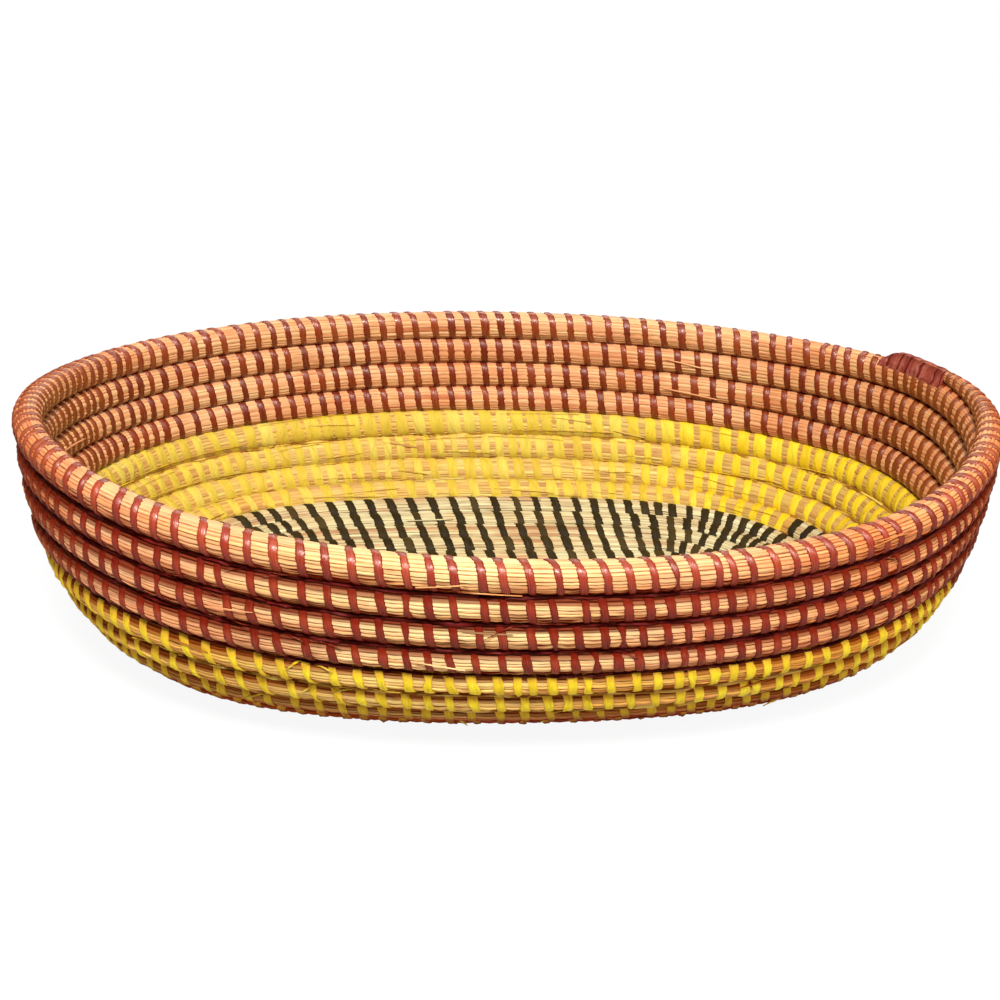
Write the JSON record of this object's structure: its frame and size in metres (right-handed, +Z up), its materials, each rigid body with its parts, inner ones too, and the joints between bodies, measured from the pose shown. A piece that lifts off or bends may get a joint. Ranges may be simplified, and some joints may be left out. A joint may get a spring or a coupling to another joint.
{
  "type": "coiled sweetgrass basket",
  "caption": "Open oval basket coiled from a grass bundle and sewn round by round with flat strips, with a flat base and a leaning wall; it stands free and holds small goods.",
  "frame": {"origin": "centre of the outline on the table, under the middle of the oval base", "axes": "+X along the oval's long side, +Y across it towards the bundle's end at the back, +Z up"},
  "size_m": [0.3658, 0.235, 0.093],
  "materials": {
    "grass": "dry coiled grass straws, dull",
    "strip_black": "flat dyed strips, nearly black, dull",
    "strip_yellow": "flat dyed strips, yellow, fibrous and dull",
    "strip_red": "flat dyed strips, brick red, smooth and shiny",
    "binding": "dark red strip wound close round the tapered end"
  },
  "bodies": {
    "root": {"bundle_base": "grass", "bundle_lower_wall": "grass", "bundle_upper_wall": "grass", "strip_black_1": "strip_black", "strip_black_2": "strip_black", "strip_black_3": "strip_black", "strip_black_4": "strip_black", "strip_black_5": "strip_black", "strip_black_6": "strip_black", "strip_black_7": "strip_black", "strip_yellow_1": "strip_yellow", "strip_yellow_2": "strip_yellow", "strip_yellow_3": "strip_yellow", "strip_yellow_4": "strip_yellow", "strip_red_1": "strip_red", "strip_red_2": "strip_red", "strip_red_3": "strip_red", "strip_red_4": "strip_red", "strip_red_5": "strip_red", "tip_binding": "binding"}
  },
  "joints": []
}
